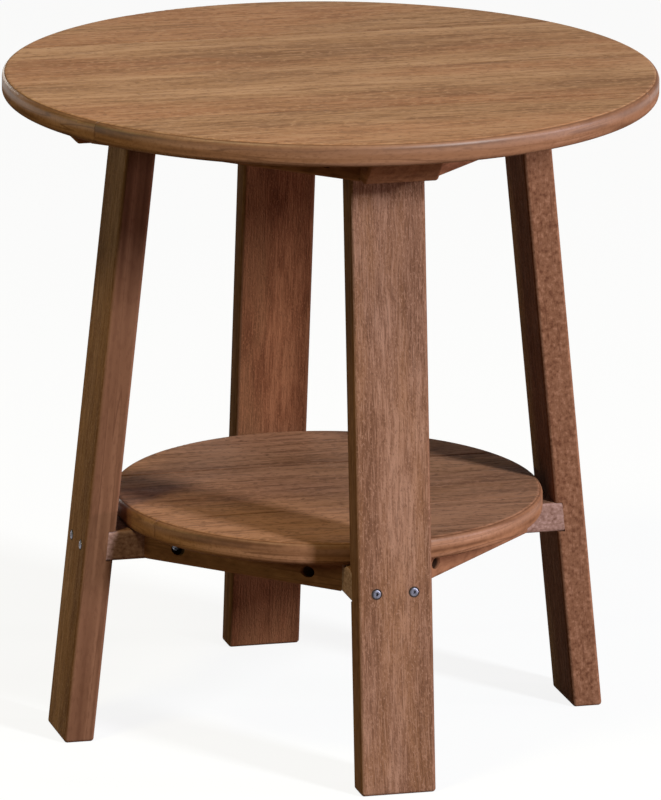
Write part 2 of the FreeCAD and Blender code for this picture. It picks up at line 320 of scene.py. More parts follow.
class PlankGrain(SharedEffect):
    """Embossed wood grain of a plank's wide faces: soft bands, streaks, thin pores and specks, with painted
    glints.
    """

    name = "plank_grain"
    takes = {
        "Place": SocketKind.VECTOR,
        "Light": SocketKind.COLOUR,
        "Middle": SocketKind.COLOUR,
        "Dark": SocketKind.COLOUR,
        "Pore": SocketKind.COLOUR,
        "Tint": SocketKind.COLOUR,
        "Pore Share": SocketKind.VALUE,
        "Band Share": SocketKind.VALUE,
    }
    gives = {"Color": SocketKind.COLOUR, "Relief": SocketKind.VALUE}

    sway = Waves(5.0, 22.0, 22.0, detail=1.0)
    sway_reach = 9 * MM
    bands = Waves(2.6, 24.0, 60.0, detail=2.0)
    streaks = Waves(30.0, 230.0, 230.0, detail=3.0)
    fibres = Waves(60.0, 700.0, 700.0, detail=2.0)
    specks = Waves(420.0, 600.0, 600.0, detail=2.0)
    clouds = Waves(7.0, 34.0, 34.0, detail=2.0)
    streak_share = 0.5
    streak_base = 0.25
    dark_to_middle = Step(0.36, 0.51)
    middle_to_light = Step(0.49, 0.64)
    tint_step = Step(0.42, 0.66)
    tint_share = 0.5
    fibre_pores = Step(0.52, 0.68)
    speck_pores = Step(0.54, 0.70)
    ridge_and_glint_step = Step(0.46, 0.30)
    glint_share = 0.6

    def wire(self, graph: Graph, entry: Sockets) -> dict[str, Socket]:
        """Wire bands, streaks, pores and specks along the plank, over a slow change of tint, with the raised
        grain painted lighter as a glint.

        Args:
            graph: The group's tree.
            entry: The group's inputs, by name.

        Returns:
            The grain's colour and relief.
        """
        shift = graph.node("ShaderNodeCombineXYZ")
        sway = graph.noise(entry["Place"], self.sway)
        graph.feed(shift.inputs["Y"], graph.maths("MULTIPLY", sway, self.sway_reach))
        place = graph.vector("ADD", entry["Place"], shift.outputs["Vector"])["Vector"]
        fibres = graph.noise(place, self.fibres)
        specks = graph.noise(place, self.specks)

        from_middle = graph.maths("SUBTRACT", graph.noise(place, self.bands), NOISE_MIDDLE)
        banded = graph.maths("MULTIPLY", from_middle, entry["Band Share"])
        streaks = graph.noise(place, self.streaks)
        streaked = graph.maths("MULTIPLY_ADD", streaks, self.streak_share, self.streak_base)
        tone = graph.maths("ADD", streaked, banded)
        low = graph.mix(graph.spread(tone, self.dark_to_middle), entry["Dark"], entry["Middle"])
        body = graph.mix(graph.spread(tone, self.middle_to_light), low, entry["Light"])
        clouded = graph.spread(graph.noise(place, self.clouds), self.tint_step)
        tinted = graph.mix(graph.maths("MULTIPLY", clouded, self.tint_share), body, entry["Tint"])

        thin = graph.spread(fibres, self.fibre_pores)
        small = graph.spread(specks, self.speck_pores)
        pores = graph.maths("MAXIMUM", thin, small)
        pored = graph.mix(graph.maths("MULTIPLY", pores, entry["Pore Share"]), tinted, entry["Pore"])
        # Raised fibres and specks stand up in the relief, and the same mask paints them lighter as a glint
        raised_fibres = graph.spread(fibres, self.ridge_and_glint_step)
        raised_specks = graph.spread(specks, self.ridge_and_glint_step)
        ridges_and_glints = graph.maths("MAXIMUM", raised_fibres, raised_specks)
        colour = graph.mix(graph.maths("MULTIPLY", ridges_and_glints, self.glint_share), pored, entry["Light"])
        return {"Color": colour, "Relief": graph.maths("SUBTRACT", ridges_and_glints, pores)}


class CutLayers(SharedEffect):
    """Smooth routed and sawn edges, where the plank's coloured core shows as soft layers and blotches."""

    name = "cut_layers"
    takes = {
        "Place": SocketKind.VECTOR,
        "Light": SocketKind.COLOUR,
        "Middle": SocketKind.COLOUR,
        "Dark": SocketKind.COLOUR,
        "Blotch": SocketKind.VALUE,
    }
    gives = {"Color": SocketKind.COLOUR, "Relief": SocketKind.VALUE}

    layers = Waves(4.0, 14.0, 150.0, detail=1.0)
    lines = Waves(4.0, 9.0, 130.0, detail=1.0)
    blotches = Waves(95.0, 180.0, 180.0, detail=3.0)
    flecks = Waves(160.0, 520.0, 520.0, detail=3.0)
    dark_to_middle = Step(0.28, 0.50)
    middle_to_light = Step(0.48, 0.72)
    line_step = Step(0.03, 0.0)
    line_share = 0.7
    lined_layers = Step(0.35, 0.6)
    fleck_step = Step(0.48, 0.70)
    fleck_share = 0.35

    def wire(self, graph: Graph, entry: Sockets) -> dict[str, Socket]:
        """Wire soft layers that lie flat in the plank, with blotches, lines and flecks over them.

        Args:
            graph: The group's tree.
            entry: The group's inputs, by name.

        Returns:
            The cut edge's colour and relief.
        """
        layers = graph.noise(entry["Place"], self.layers)
        blotches = graph.noise(entry["Place"], self.blotches)
        from_layers = graph.maths("SUBTRACT", blotches, layers)
        tone = graph.maths("MULTIPLY_ADD", from_layers, entry["Blotch"], layers)
        low = graph.mix(graph.spread(tone, self.dark_to_middle), entry["Dark"], entry["Middle"])
        body = graph.mix(graph.spread(tone, self.middle_to_light), low, entry["Light"])

        from_middle = graph.maths("SUBTRACT", graph.noise(entry["Place"], self.lines), NOISE_MIDDLE)
        near_line = graph.spread(graph.maths("ABSOLUTE", from_middle), self.line_step)
        line = graph.maths("MULTIPLY", near_line, self.line_share)
        shown_line = graph.maths("MULTIPLY", line, graph.spread(layers, self.lined_layers))
        lined = graph.mix(shown_line, body, entry["Dark"])
        flecked = graph.spread(graph.noise(entry["Place"], self.flecks), self.fleck_step)
        fleck = graph.maths("MULTIPLY", flecked, self.fleck_share)
        colour = graph.mix(fleck, lined, entry["Dark"])
        return {"Color": colour, "Relief": graph.maths("SUBTRACT", layers, fleck)}


class EdgeRubAndHighlight(SharedEffect):
    """Lighter corners of a squared plank, partly rubbed wear and partly a painted highlight: 1 on its eased
    edges, broken up along them.
    """

    name = "edge_rub_and_highlight"
    takes = {
        "Place": SocketKind.VECTOR,
        "Across": SocketKind.VALUE,
        "Through": SocketKind.VALUE,
        "Half Width": SocketKind.VALUE,
        "Half Thickness": SocketKind.VALUE,
        "Ease": SocketKind.VALUE,
    }
    gives = {"Mask": SocketKind.VALUE}

    breaks = Waves(25.0, 120.0, 120.0, detail=3.0)
    corner_step = Step(0.1, 0.65)
    break_step = Step(0.35, 0.62)

    def wire(self, graph: Graph, entry: Sockets) -> dict[str, Socket]:
        """Wire how far a point lies on the rounded corner, less some noise.

        Args:
            graph: The group's tree.
            entry: The group's inputs, by name.

        Returns:
            The mask of the rubbed and highlighted corners.
        """
        side_start = graph.maths("SUBTRACT", entry["Half Width"], entry["Ease"])
        face_start = graph.maths("SUBTRACT", entry["Half Thickness"], entry["Ease"])
        past_side = graph.maths("SUBTRACT", entry["Across"], side_start)
        past_face = graph.maths("SUBTRACT", entry["Through"], face_start)
        corner = graph.maths("DIVIDE", graph.maths("MINIMUM", past_side, past_face), entry["Ease"])
        broken = graph.spread(graph.noise(entry["Place"], self.breaks), self.break_step)
        return {"Mask": graph.maths("MULTIPLY", graph.spread(corner, self.corner_step), broken)}


class Handling(SharedEffect):
    """Faint clouds of dust and polish from use outdoors."""

    name = "handling"
    takes = {"Place": SocketKind.VECTOR}
    gives = {"Tint": SocketKind.VALUE, "Polish": SocketKind.VALUE}

    clouds = Waves(9.0, 14.0, 14.0, detail=4.0)
    smears = Waves(30.0, 55.0, 55.0, detail=3.0)
    tint_step = Step(0.25, 0.75)
    polish_step = Step(0.3, 0.7)

    def wire(self, graph: Graph, entry: Sockets) -> dict[str, Socket]:
        """Wire wide clouds for the tint and smaller ones for the polish.

        Args:
            graph: The group's tree.
            entry: The group's inputs, by name.

        Returns:
            The tint and the polish.
        """
        tint = graph.spread(graph.noise(entry["Place"], self.clouds), self.tint_step)
        polish = graph.spread(graph.noise(entry["Place"], self.smears), self.polish_step)
        return {"Tint": tint, "Polish": polish}


class BrushedMetal(SharedEffect):
    """Fine turning marks and stains on a screw's steel."""

    name = "brushed_metal"
    takes = {"Place": SocketKind.VECTOR, "Bright": SocketKind.COLOUR, "Stained": SocketKind.COLOUR}
    gives = {"Color": SocketKind.COLOUR, "Roughness": SocketKind.VALUE, "Relief": SocketKind.VALUE}

    blotches = Waves(420.0, 420.0, 420.0, detail=3.0)
    marks = Waves(2600.0, 2600.0, 900.0, detail=2.0)
    stain_step = Step(0.42, 0.72)
    roughness_range = 0.25
    roughness_base = 0.26

    def wire(self, graph: Graph, entry: Sockets) -> dict[str, Socket]:
        """Wire blotches for the stains and tight noise for the marks.

        Args:
            graph: The group's tree.
            entry: The group's inputs, by name.

        Returns:
            The steel's colour, roughness and relief.
        """
        blotches = graph.noise(entry["Place"], self.blotches)
        colour = graph.mix(graph.spread(blotches, self.stain_step), entry["Bright"], entry["Stained"])
        roughness = graph.maths("MULTIPLY_ADD", blotches, self.roughness_range, self.roughness_base)
        return {"Color": colour, "Roughness": roughness, "Relief": graph.noise(entry["Place"], self.marks)}


@dataclass(frozen=True)
class Effects:
    """The shared effects, each built once."""

    grain: PlankGrain
    layers: CutLayers
    rub_and_highlight: EdgeRubAndHighlight
    handling: Handling
    metal: BrushedMetal

    @classmethod
    def build(cls) -> "Effects":
        """Build every shared effect."""
        return cls(PlankGrain(), CutLayers(), EdgeRubAndHighlight(), Handling(), BrushedMetal())


@dataclass(frozen=True)
class Plank:
    """Where a plank lies and how its section is cut, for a finish that follows its length."""

    origin: Vector
    along: Vector
    through: Vector
    half_width: float
    half_thickness: float
    ease: float = 0.0
    skin: float = 0.5 * MM
    disc_radius: float = 0.0
    skin_inset: float = 0.0
    bored: bool = False

    def turn(self) -> tuple[float, float, float]:
        """Work out how the plank's own axes are turned.

        Returns:
            Their Euler angles.
        """
        across = self.through.cross(self.along)
        axes = Matrix((self.along, across, self.through)).transposed()
        return tuple(axes.to_euler("XYZ"))

    def skin_radius(self) -> float:
        """Radius at which a round panel's flat skin ends and its routed rim starts."""
        return self.disc_radius - self.skin_inset


@dataclass(frozen=True)
class Palette:
    """Colours of one kind of lumber surface, from its lightest streak to its pores."""

    light: Colour
    middle: Colour
    dark: Colour
    pore: Colour

    @classmethod
    def of(cls, light: Display, middle: Display, dark: Display, pore: Display) -> "Palette":
        """Palette of four display colours."""
        return cls(*(display_colour(*shade) for shade in (light, middle, dark, pore)))


@dataclass(frozen=True)
class LumberFinish:
    """Wood-grained plastic lumber: embossed wide faces, smooth cut edges and rubbed corners.

    The steps for the painted shade at the arris, the seams and the bores are distances in metres, the skin's
    are shares of its depth, and those for the underside and the coated part are shares of half the plank's
    thickness.
    """

    face: Palette
    cut: Palette
    tint: Colour
    gloss: float
    blotch: float
    pore_share: float
    band_share: float
    cut_roughness: float
    coat: float = 0.0
    coat_roughness: float = 0.45
    coated_part: Step = Step(-0.2, 0.45)
    face_roughness: float = 0.80
    dull_roughness: float = 0.90
    underside: Step = Step(0.2, -0.4)
    polish_range: float = 0.10
    stretch: Scales = (1.0, 1.0, 1.0)
    cut_stretch: Scales = (1.0, 1.0, 1.0)
    skin_step: Step = Step(1.3, 0.7)
    rim_fade: float = 0.5 * MM
    # painted shade on the line where a rim starts
    arris_shade_step: Step = Step(0.9 * MM, 0.2 * MM)
    arris_shade_share: float = 0.7
    rub_and_highlight_share: float = 0.45
    # painted shade, with some dust, in the seams between boards
    seam_shade_step: Step = Step(2.2 * MM, 0.9 * MM)
    seam_shade_on_face: float = 0.38
    seam_shade_on_rim: float = 0.10
    # painted shade deep inside the bored pockets of a brace
    bore_shade: Colour = display_colour(20, 12, 8)
    bore_shade_side: Step = Step(0.4 * MM, 2.4 * MM)
    bore_shade_face: Step = Step(4.0 * MM, 7.0 * MM)
    bore_shade_share: float = 0.93
    dust_share: float = 0.16
    face_relief: float = 0.12 * MM
    cut_relief: float = 0.05 * MM
    relief_share: float = 0.8


class PlankPainter:
    """Wires a lumber finish for one plank: where a point lies, then its colour, roughness and relief."""

    def __init__(self, name: str, finish: LumberFinish, plank: Plank, seed: int, effects: Effects) -> None:
        """Make the material and the sockets that say where a point lies in the plank.

        Args:
            name: The material's name.
            finish: The finish.
            plank: The plank that it follows.
            seed: Number that moves the grain, so that no two planks match.
            effects: The shared effects.
        """
        self.finish = finish
        self.plank = plank
        self.effects = effects
        self.material = bpy.data.materials.new(name)
        self.material.use_nodes = True
        self.shader = self.material.node_tree.nodes["Principled BSDF"]
        self.graph = graph = Graph(self.material.node_tree)
        coordinates = graph.node("ShaderNodeTexCoord").outputs["Object"]
        mapping = graph.node("ShaderNodeMapping", vector_type="TEXTURE")
        graph.feed(mapping.inputs["Vector"], coordinates)
        mapping.inputs["Location"].default_value = plank.origin
        mapping.inputs["Rotation"].default_value = plank.turn()
        own = mapping.outputs["Vector"]
        axes = graph.node("ShaderNodeSeparateXYZ")
        graph.feed(axes.inputs["Vector"], own)
        self.place = graph.vector("ADD", own, tuple(seed * step for step in SEED_STEP))["Vector"]
        self.height = axes.outputs["Z"]
        self.across = graph.maths("ABSOLUTE", axes.outputs["Y"])
        self.through = graph.maths("ABSOLUTE", axes.outputs["Z"])
        skin = finish.skin_step.times(plank.skin)
        self.face = graph.spread(self.through, skin.inset(plank.half_thickness))
        if plank.disc_radius:
            around = graph.vector("MULTIPLY", coordinates, (1.0, 1.0, 0.0))["Vector"]
            self.radius = graph.vector("LENGTH", around)["Value"]
            edge = plank.skin_radius()
            self.inside = graph.spread(self.radius, Step(edge + finish.rim_fade, edge))
            self.face = graph.maths("MULTIPLY", self.face, self.inside)

    def paint(self) -> bpy.types.Material:
        """Wire the finish to the shader.

        Returns:
            The material.
        """
        graph, finish = self.graph, self.finish
        grain = graph.effect(
            self.effects.grain.tree,
            Place=graph.vector("MULTIPLY", self.place, finish.stretch)["Vector"],
            Light=finish.face.light,
            Middle=finish.face.middle,
            Dark=finish.face.dark,
            Pore=finish.face.pore,
            Tint=finish.tint,
            Pore_Share=finish.pore_share,
            Band_Share=finish.band_share,
        )
        layers = graph.effect(
            self.effects.layers.tree,
            Place=graph.vector("MULTIPLY", self.place, finish.cut_stretch)["Vector"],
            Light=finish.cut.light,
            Middle=finish.cut.middle,
            Dark=finish.cut.dark,
            Blotch=finish.blotch,
        )
        handling = graph.effect(self.effects.handling.tree, Place=self.place)
        colour = graph.mix(self.face, layers["Color"], grain["Color"])
        if self.plank.disc_radius:
            # painted shade on the line where the rim starts and in the seams between boards
            colour = self.add_arris_and_seam_shade(colour)
            self.coat_rim()
        else:
            # eased corners painted lighter, partly as wear and partly as a highlight
            colour = self.add_rub_and_highlight(colour)
        # painted shade in the bored pockets
        if self.plank.bored:
            colour = self.add_bore_shade(colour)
        dust = graph.maths("MULTIPLY", handling["Tint"], finish.dust_share)
        graph.feed(self.shader.inputs["Base Color"], graph.mix(dust, colour, finish.face.middle))
        polished = graph.maths("MULTIPLY_ADD", handling["Polish"], finish.polish_range, self.roughness())
        graph.feed(self.shader.inputs["Roughness"], polished)
        self.shader.inputs["Specular IOR Level"].default_value = finish.gloss
        cut_height = graph.maths("MULTIPLY", layers["Relief"], finish.cut_relief)
        face_height = graph.maths("MULTIPLY", grain["Relief"], finish.face_relief)
        rise = graph.maths("MULTIPLY", self.face, graph.maths("SUBTRACT", face_height, cut_height))
        height = graph.maths("ADD", rise, cut_height)
        graph.bump(self.shader, height, distance=1.0, strength=finish.relief_share)
        return self.material

    def add_arris_and_seam_shade(self, colour: Socket) -> Socket:
        """Paint shade on the line where a round panel's rim starts and in the seams between its boards.

        Args:
            colour: The colour so far.

        Returns:
            The colour with those lines.
        """
        graph, finish = self.graph, self.finish
        # a dark line where the rim starts: partly the routed core's own colour change, partly painted shade
        # of the small step there
        past_arris = graph.maths("SUBTRACT", self.radius, self.plank.skin_radius())
        near_arris = graph.spread(graph.maths("ABSOLUTE", past_arris), finish.arris_shade_step)
        arris = graph.maths("MULTIPLY", near_arris, finish.arris_shade_share)
        lined = graph.mix(arris, colour, finish.cut.dark)
        # painted shade, with some dust, in the seams between boards, stronger on the flat face than on the
        # rim
        seam = graph.spread(self.across, finish.seam_shade_step.inset(self.plank.half_width))
        seam_shade_share = graph.maths("MULTIPLY_ADD", self.inside, finish.seam_shade_on_face, finish.seam_shade_on_rim)
        return graph.mix(graph.maths("MULTIPLY", seam, seam_shade_share), lined, finish.cut.pore)

    def add_rub_and_highlight(self, colour: Socket) -> Socket:
        """Lighten the corners of a squared plank, partly as rubbed wear and partly as a painted highlight.

        Args:
            colour: The colour so far.

        Returns:
            The colour with rubbed corners.
        """
        rub_and_highlight = self.graph.effect(
            self.effects.rub_and_highlight.tree,
            Place=self.place,
            Across=self.across,
            Through=self.through,
            Half_Width=self.plank.half_width,
            Half_Thickness=self.plank.half_thickness,
            Ease=self.plank.ease,
        )
        share = self.graph.maths("MULTIPLY", rub_and_highlight["Mask"], self.finish.rub_and_highlight_share)
        return self.graph.mix(share, colour, self.finish.cut.light)

    def add_bore_shade(self, colour: Socket) -> Socket:
        """Paint shade into the bored pockets of a brace, darker with their depth.

        Args:
            colour: The colour so far.

        Returns:
            The colour with painted shade in the pockets.
        """
        graph, finish = self.graph, self.finish
        inward = graph.spread(self.across, finish.bore_shade_side.inset(self.plank.half_width))
        level = graph.spread(self.through, finish.bore_shade_face.inset(self.plank.half_thickness))
        depth = graph.maths("MULTIPLY", inward, level)
        return graph.mix(graph.maths("MULTIPLY", depth, finish.bore_shade_share), colour, finish.bore_shade)

    def roughness(self) -> Socket:
        """Join the roughness of the wide faces and the cut edges, which are dull towards the underside.

        Returns:
            The roughness before any polish.
        """
        graph, finish = self.graph, self.finish
        under = graph.spread(self.height, finish.underside.times(self.plank.half_thickness))
        to_dull = finish.dull_roughness - finish.cut_roughness
        cut_roughness = graph.maths("MULTIPLY_ADD", under, to_dull, finish.cut_roughness)
        to_face = graph.maths("SUBTRACT", finish.face_roughness, cut_roughness)
        return graph.maths("MULTIPLY_ADD", self.face, to_face, cut_roughness)

    def coat_rim(self) -> None:
        """Give the upper part of a routed rim its sheen."""
        graph, finish = self.graph, self.finish
        upper = graph.spread(self.height, finish.coated_part.times(self.plank.half_thickness))
        coated = graph.maths("MULTIPLY", upper, graph.maths("SUBTRACT", 1.0, self.face))
        graph.feed(self.shader.inputs["Coat Weight"], graph.maths("MULTIPLY", coated, finish.coat))
        self.shader.inputs["Coat Roughness"].default_value = finish.coat_roughness


@dataclass(frozen=True)
class SteelFinish:
    """Stainless screw steel with stains and turning marks, and a ring of painted shade round a sunk head."""

    bright: Colour
    stained: Colour
    seat_shade: Colour | None = None
    mark_height: float = 0.02 * MM
    mark_share: float = 0.5

    def material(self, name: str, effects: Effects) -> bpy.types.Material:
        """Make the finish.

        Args:
            name: The material's name.
            effects: The shared effects.

        Returns:
            The material.
        """
        made = bpy.data.materials.new(name)
        made.use_nodes = True
        graph = Graph(made.node_tree)
        shader = made.node_tree.nodes["Principled BSDF"]
        coordinates = graph.node("ShaderNodeTexCoord").outputs["Object"]
        metal = graph.effect(effects.metal.tree, Place=coordinates, Bright=self.bright, Stained=self.stained)
        if self.seat_shade is None:
            graph.feed(shader.inputs["Base Color"], metal["Color"])
            graph.feed(shader.inputs["Roughness"], metal["Roughness"])
            shader.inputs["Metallic"].default_value = 1.0
        # the ring round a sunk head is painted dark and dull as shade, the rest is steel
        else:
            seat_shade_mask = graph.node("ShaderNodeAttribute", attribute_name=SEAT_SHADE).outputs["Fac"]
            steel = graph.maths("SUBTRACT", 1.0, seat_shade_mask)
            graph.feed(shader.inputs["Base Color"], graph.mix(steel, self.seat_shade, metal["Color"]))
            graph.feed(shader.inputs["Roughness"], graph.maths("MAXIMUM", seat_shade_mask, metal["Roughness"]))
            graph.feed(shader.inputs["Metallic"], steel)
        graph.bump(shader, metal["Relief"], self.mark_height, self.mark_share)
        return made


TOP_FINISH = LumberFinish(
    face=Palette.of((171, 132, 103), (149, 111, 83), (126, 90, 66), (98, 67, 48)),
    cut=Palette.of((138, 99, 77), (117, 79, 56), (78, 47, 29), (52, 31, 20)),
    tint=display_colour(156, 104, 76),
    gloss=0.06,
    blotch=0.15,
    pore_share=0.5,
    band_share=0.65,
    cut_roughness=0.5,
    coat=0.6,
    stretch=(0.42, 0.46, 1.0),
)
SHELF_FINISH = replace(
    TOP_FINISH,
    face=Palette.of((160, 114, 87), (136, 94, 69), (112, 74, 53), (88, 56, 40)),
    cut=Palette.of((150, 107, 82), (127, 86, 61), (84, 51, 32), (52, 31, 20)),
    tint=display_colour(144, 100, 68),
    pore_share=0.6,
    coat=0.3,
)
LEG_FINISH = LumberFinish(
    face=Palette.of((147, 110, 91), (121, 86, 68), (99, 67, 50), (72, 45, 33)),
    cut=Palette.of((118, 82, 62), (100, 67, 49), (79, 49, 34), (46, 27, 18)),
    tint=display_colour(126, 87, 60),
    gloss=0.02,
    blotch=0.5,
    pore_share=0.42,
    band_share=0.5,
    cut_roughness=0.75,
    stretch=(1.0, 1.15, 1.15),
)
LEFT_LEG_FINISH = replace(LEG_FINISH, blotch=0.1)
RIGHT_LEG_FINISH = replace(
    LEG_FINISH,
    cut=Palette.of((140, 99, 77), (116, 78, 57), (88, 53, 37), (46, 27, 18)),
    blotch=0.9,
    cut_stretch=(3.2, 1.9, 1.9),
)
# a darker, redder copy of the leg finish: partly the back leg's own tone, partly painted shade
BACK_LEG_FINISH = replace(
    LEG_FINISH,
    face=Palette.of((127, 82, 57), (104, 63, 42), (86, 50, 32), (66, 36, 23)),
    pore_share=0.3,
)
BRACE_FINISH = replace(
    LEG_FINISH,
    cut=Palette.of((150, 105, 78), (126, 85, 61), (98, 62, 43), (46, 27, 18)),
)
BEAM_FINISH = replace(
    RIGHT_LEG_FINISH,
    cut=Palette.of((162, 130, 121), (137, 106, 96), (104, 74, 64), (46, 27, 18)),
)
BRIGHT_STEEL = SteelFinish(bright=display_colour(150, 151, 160), stained=display_colour(104, 104, 112))
DULL_STEEL = SteelFinish(bright=display_colour(134, 134, 138), stained=display_colour(92, 90, 88))
# steel whose ring round a sunk head is painted dark as shade
SEAT_SHADED_STEEL = SteelFinish(
    bright=display_colour(126, 124, 138),
    stained=display_colour(82, 80, 90),
    seat_shade=display_colour(38, 26, 20),
)


def dress(node: str, finish: LumberFinish, plank: Plank, seed: int, effects: Effects) -> None:
    """Give a CAD node its finish.

    Args:
        node: The node's name.
        finish: The finish.
        plank: The plank that the finish follows.
        seed: Number that moves the plank's grain.
        effects: The shared effects.
    """
    material = PlankPainter(f"lumber_{node}", finish, plank, seed, effects).paint()
    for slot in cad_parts[node].material_slots:
        slot.material = material
    log.info("%s wears %s", node, material.name)


@dataclass
class RoundPanel:
    """Boards side by side along X, cut together to a round and routed over at the rim."""

    name: str
    boards: int
    finish: LumberFinish
    first_seed: int
    skin: float = 1.0 * MM
    skin_inset: float = 2.2 * MM

    def dress(self, effects: Effects) -> None:
        """Dress each board with grain of its own.

        Args:
            effects: The shared effects.
        """
        nodes = [f"{self.name}_board_{index + 1}" for index in range(self.boards)]
        boxes = [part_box(node) for node in nodes]
        radius = max(high.x for low, high in boxes)
        board_width = max(high.y - low.y for low, high in boxes)
        for seed, (node, (low, high)) in enumerate(zip(nodes, boxes), self.first_seed):
            # An outer board is cut off at the rim, so its middle is found from its inner edge
            inner_edge = high.y if low.y < 0 and high.y < board_width / 2 else low.y + board_width
            plank = Plank(
                origin=Vector((0, inner_edge - board_width / 2, (low.z + high.z) / 2)),
                along=RIGHTWARD,
                through=UP,
                half_width=board_width / 2,
                half_thickness=(high.z - low.z) / 2,
                skin=self.skin,
                disc_radius=radius,
                skin_inset=self.skin_inset,
            )
            dress(node, self.finish, plank, seed, effects)


class Side(Enum):
    """Sides that carry a leg, each with the turn from the right-hand side in degrees."""

    RIGHT = 0
    BACK = 90
    LEFT = 180
    FRONT = 270


class Corner(Enum):
    """Corners that carry a brace, each with the turn of its length from rightward in degrees."""

    BACK_RIGHT = -45
    BACK_LEFT = 45
    FRONT_LEFT = 135
    FRONT_RIGHT = 225


@dataclass(frozen=True)
class Lumber:
    """Section of squared lumber."""

    width: float = 63.5 * MM
    thickness: float = 25.4 * MM
    ease: float = 3.0 * MM

    def plank(self, origin: Vector, along: Vector, through: Vector, bored: bool = False) -> Plank:
        """Plank of this section through a point of its middle line."""
        return Plank(origin, along, through, self.width / 2, self.thickness / 2, self.ease, bored=bored)


@dataclass
class Legs:
    """Four splayed legs, front, back, left and right, each with its own finish."""

    lumber: Lumber
    finishes: dict[Side, LumberFinish]
    first_seed: int

    def dress(self, effects: Effects) -> None:
        """Dress each leg with grain up its slanted length.

        Args:
            effects: The shared effects.
        """
        for seed, side in enumerate(Side, self.first_seed):
            node = f"leg_{side.name.lower()}"
            turn = Matrix.Rotation(math.radians(side.value), 3, "Z")
            outward = turn @ Vector((math.cos(SPLAY), 0, math.sin(SPLAY)))
            upward = turn @ Vector((-math.sin(SPLAY), 0, math.cos(SPLAY)))
            low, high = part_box(node)
            foot = max(abs(value) for value in (*low.xy, *high.xy))
            outer_foot = turn @ Vector((foot, 0, 0))
            origin = outer_foot - outward * self.lumber.thickness / 2
            dress(node, self.finishes[side], self.lumber.plank(origin, upward, outward), seed, effects)


@dataclass
class Cross:
    """Two half-lapped beams with a mitred brace, square in section, between each pair of arms."""

    name: str
    lumber: Lumber
    beam_finish: LumberFinish
    brace_finish: LumberFinish
    first_seed: int

    def dress(self, effects: Effects) -> None:
        """Dress the beams and the braces with grain along each.

        Args:
            effects: The shared effects.
        """
        beams = {"side_to_side": RIGHTWARD, "front_to_back": BACKWARD}
        for seed, (way, along) in enumerate(beams.items(), self.first_seed):
            node = f"{self.name}_beam_{way}"
            low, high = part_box(node)
            dress(node, self.beam_finish, self.lumber.plank((low + high) / 2, along, UP), seed, effects)
        square = replace(self.lumber, width=self.lumber.thickness)
        for seed, corner in enumerate(Corner, self.first_seed + len(beams)):
            node = f"{self.name}_brace_{corner.name.lower()}"
            along = Matrix.Rotation(math.radians(corner.value), 3, "Z") @ RIGHTWARD
            low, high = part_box(node)
            middle = (low + high) / 2
            # A mitred brace turned by 45 degrees has its outer face through the middle of its box
            outward = Vector((middle.x, middle.y, 0)).normalized()
            plank = square.plank(middle - outward * square.width / 2, along, UP, bored=True)
            dress(node, self.brace_finish, plank, seed, effects)


class HeadForm(Enum):
    """How a screw's head sits in the lumber: its profile from the top, in shares of its radius and height."""

    DOMED = ((0.62, 0.0), (0.82, 0.12), (0.95, 0.36), (1.0, 0.66), (1.0, 1.0))
    FLUSH = ((0.94, 0.0), (0.985, 0.02))
    # a sunk head's outer flat ring is painted dark as the shade round it
    SUNK = ((0.54, 0.8), (0.66, 0.83), (0.72, 0.88), (0.74, 0.94), (0.76, 0.95), (0.98, 0.95), (1.0, 1.0))


@dataclass(frozen=True)
class ScrewSize:
    """Sizes that like screws share."""

    head_radius: float
    head_height: float
    shank_radius: float


LEG_SCREW = ScrewSize(head_radius=4.6 * MM, head_height=3.0 * MM, shank_radius=2.4 * MM)
BOARD_SCREW = ScrewSize(head_radius=4.2 * MM, head_height=2.6 * MM, shank_radius=2.1 * MM)


@dataclass(frozen=True)
class ScrewPlace:
    """Where a screw sits: the outermost point of its head, the way that it faces and its whole length."""

    point: Vector
    outward: Vector
    length: float


